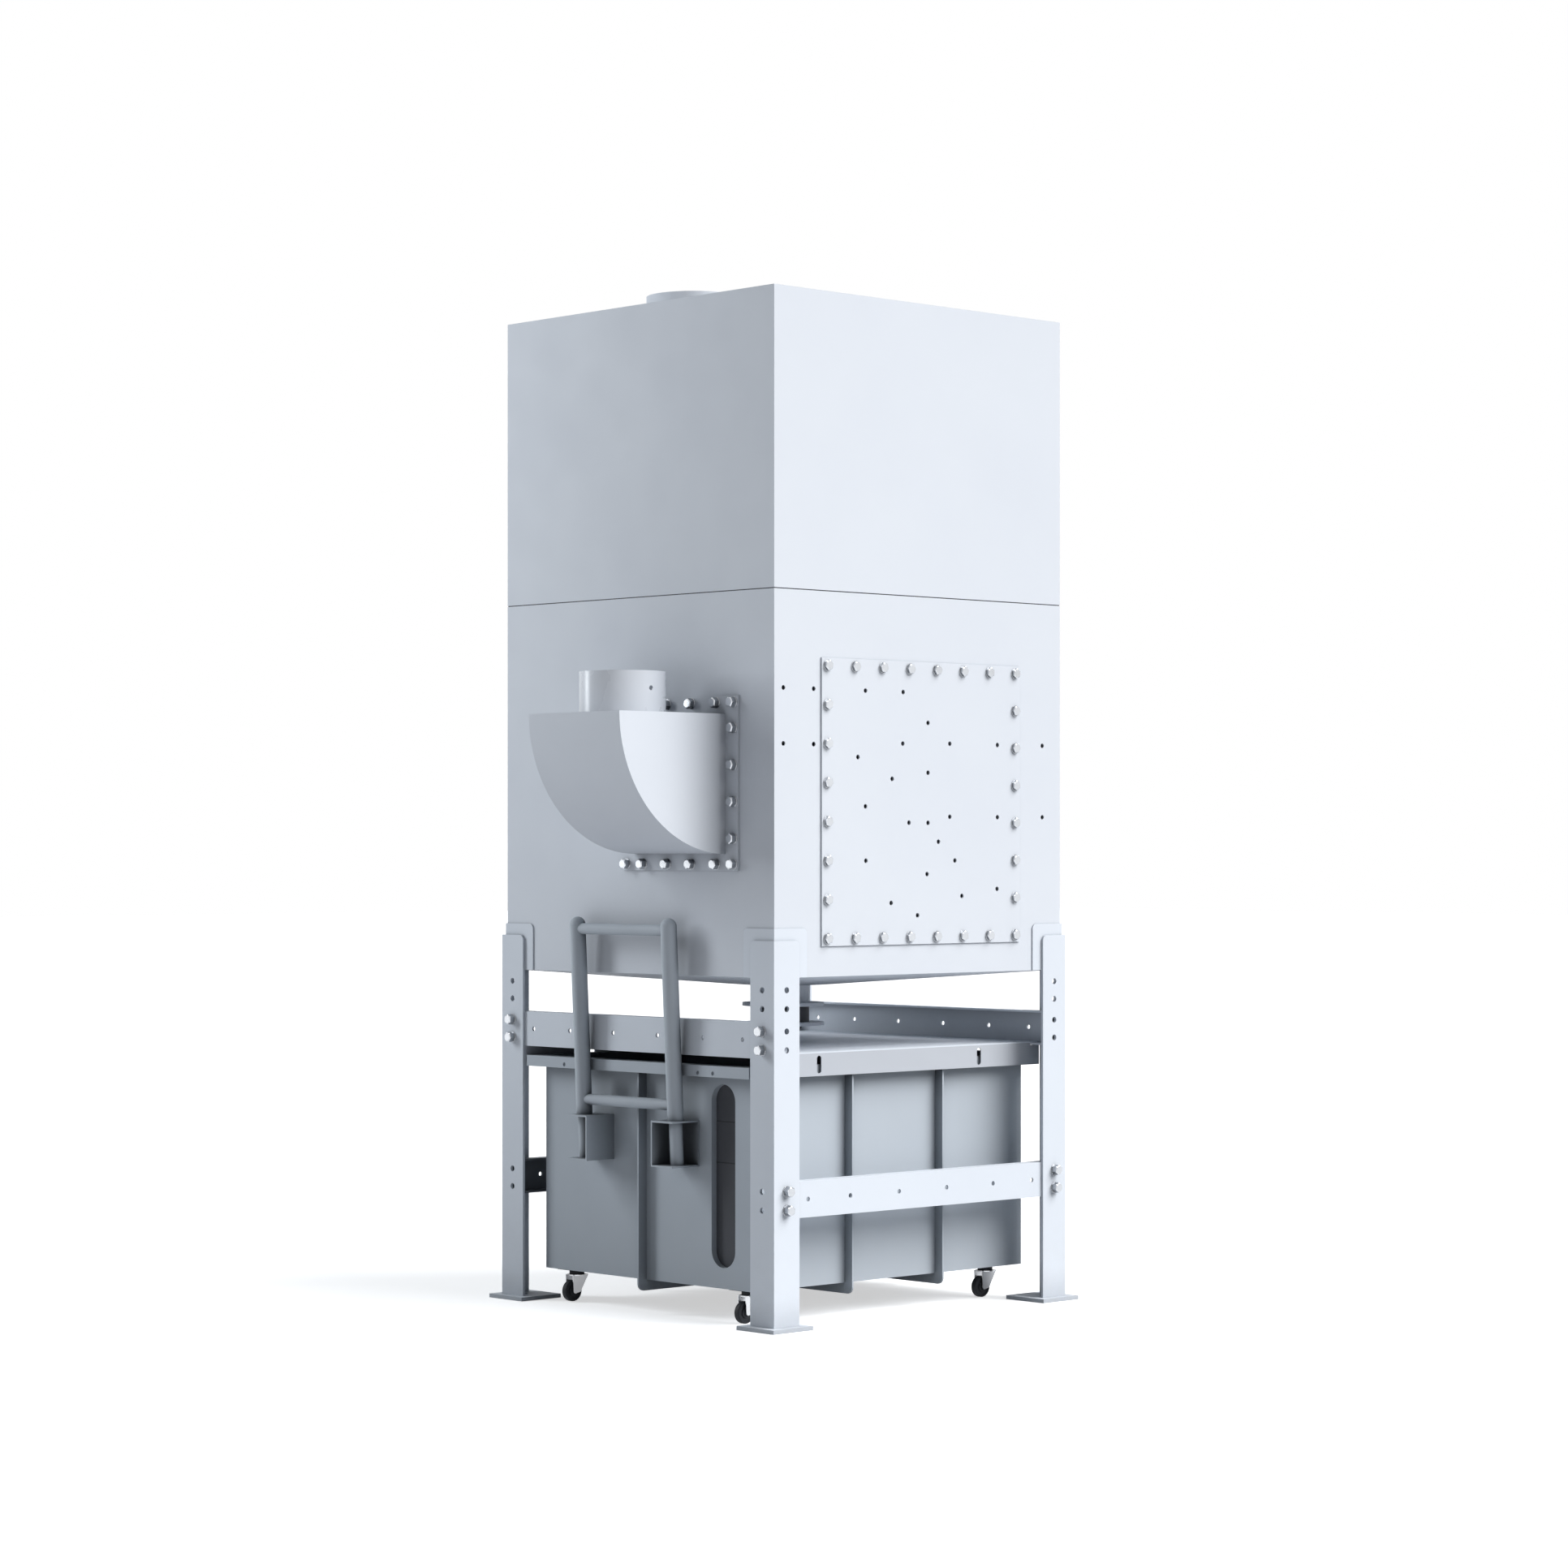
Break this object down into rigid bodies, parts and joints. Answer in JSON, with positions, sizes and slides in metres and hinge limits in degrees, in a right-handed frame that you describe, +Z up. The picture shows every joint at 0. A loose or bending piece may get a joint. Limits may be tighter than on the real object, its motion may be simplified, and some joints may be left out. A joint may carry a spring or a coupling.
{
  "type": "wet dust collector",
  "caption": "Square wet dust collector on angle legs, with a bent air inlet, bolted access cover, roof outlet and a sludge tank on swivel casters that rolls out.",
  "frame": {"origin": "on the floor under the middle of the square casing", "axes": "+Z up; the air inlet and the tank's handle face -X, the access cover faces -Y"},
  "size_m": [1.651, 1.28, 3.11],
  "materials": {
    "casing_paint": "satin",
    "frame_paint": "satin",
    "tank_paint": "satin",
    "caster_steel": "satin",
    "caster_head": "satin",
    "caster_rubber": "matte",
    "window_glass": "gloss",
    "gasket_rubber": "matte"
  },
  "bodies": {
    "collector": {"foot_plates": "frame_paint", "leg_inlet_access": "frame_paint", "leg_inlet_far": "frame_paint", "leg_rear_access": "frame_paint", "leg_rear_far": "frame_paint", "corner_plates": "frame_paint", "upper_beam_inlet": "frame_paint", "upper_beam_rear": "frame_paint", "lower_beam_access": "frame_paint", "lower_beam_far": "frame_paint", "lower_wall_inlet": "casing_paint", "lower_wall_rear": "casing_paint", "lower_wall_access": "casing_paint", "lower_wall_far": "casing_paint", "hopper": "casing_paint", "module_gasket": "gasket_rubber", "upper_wall_inlet": "casing_paint", "upper_wall_rear": "casing_paint", "upper_wall_access": "casing_paint", "upper_wall_far": "casing_paint", "roof": "casing_paint", "outlet_collar": "casing_paint", "access_cover": "casing_paint", "inlet_flange": "casing_paint", "inlet_bend": "casing_paint", "inlet_cheeks": "casing_paint", "inlet_top": "casing_paint", "inlet_collar": "casing_paint", "drain_outlet": "frame_paint", "drain_sleeve_ring": "gasket_rubber", "drain_stub": "frame_paint", "hood_top": "casing_paint", "hood_skirts": "casing_paint"},
    "tank_cart": {"tank_end_inlet": "tank_paint", "tank_end_rear": "tank_paint", "tank_side_access": "tank_paint", "tank_side_far": "tank_paint", "tank_floor": "tank_paint", "tank_rim": "tank_paint", "tank_ribs": "tank_paint", "window_sleeve": "tank_paint", "window_pane": "window_glass", "push_handle": "tank_paint", "handle_brackets": "tank_paint", "caster_plates": "caster_head"},
    "fork_inlet_access": {"caster_fork_inlet_access": "caster_steel"},
    "fork_inlet_far": {"caster_fork_inlet_far": "caster_steel"},
    "fork_rear_access": {"caster_fork_rear_access": "caster_steel"},
    "fork_rear_far": {"caster_fork_rear_far": "caster_steel"},
    "wheel_inlet_access": {"caster_wheel_inlet_access": "caster_rubber"},
    "wheel_inlet_far": {"caster_wheel_inlet_far": "caster_rubber"},
    "wheel_rear_access": {"caster_wheel_rear_access": "caster_rubber"},
    "wheel_rear_far": {"caster_wheel_rear_far": "caster_rubber"}
  },
  "joints": [
    {"name": "cart_roll", "type": "slide", "parent": "collector", "child": "tank_cart", "axis": [-1, 0, 0], "range_m": [0, 1.25]},
    {"name": "swivel_inlet_access", "type": "hinge", "parent": "tank_cart", "child": "fork_inlet_access", "pos_m": [-0.5005, -0.388, 0.08], "axis": [0, 0, 1], "continuous": true},
    {"name": "swivel_inlet_far", "type": "hinge", "parent": "tank_cart", "child": "fork_inlet_far", "pos_m": [-0.5005, 0.388, 0.08], "axis": [0, 0, 1], "continuous": true},
    {"name": "swivel_rear_access", "type": "hinge", "parent": "tank_cart", "child": "fork_rear_access", "pos_m": [0.49, -0.388, 0.08], "axis": [0, 0, 1], "continuous": true},
    {"name": "swivel_rear_far", "type": "hinge", "parent": "tank_cart", "child": "fork_rear_far", "pos_m": [0.49, 0.388, 0.08], "axis": [0, 0, 1], "continuous": true},
    {"name": "spin_inlet_access", "type": "hinge", "parent": "fork_inlet_access", "child": "wheel_inlet_access", "pos_m": [-0.5205, -0.388, 0.0325], "axis": [0, 1, 0], "continuous": true},
    {"name": "spin_inlet_far", "type": "hinge", "parent": "fork_inlet_far", "child": "wheel_inlet_far", "pos_m": [-0.5205, 0.388, 0.0325], "axis": [0, 1, 0], "continuous": true},
    {"name": "spin_rear_access", "type": "hinge", "parent": "fork_rear_access", "child": "wheel_rear_access", "pos_m": [0.47, -0.388, 0.0325], "axis": [0, 1, 0], "continuous": true},
    {"name": "spin_rear_far", "type": "hinge", "parent": "fork_rear_far", "child": "wheel_rear_far", "pos_m": [0.47, 0.388, 0.0325], "axis": [0, 1, 0], "continuous": true}
  ]
}
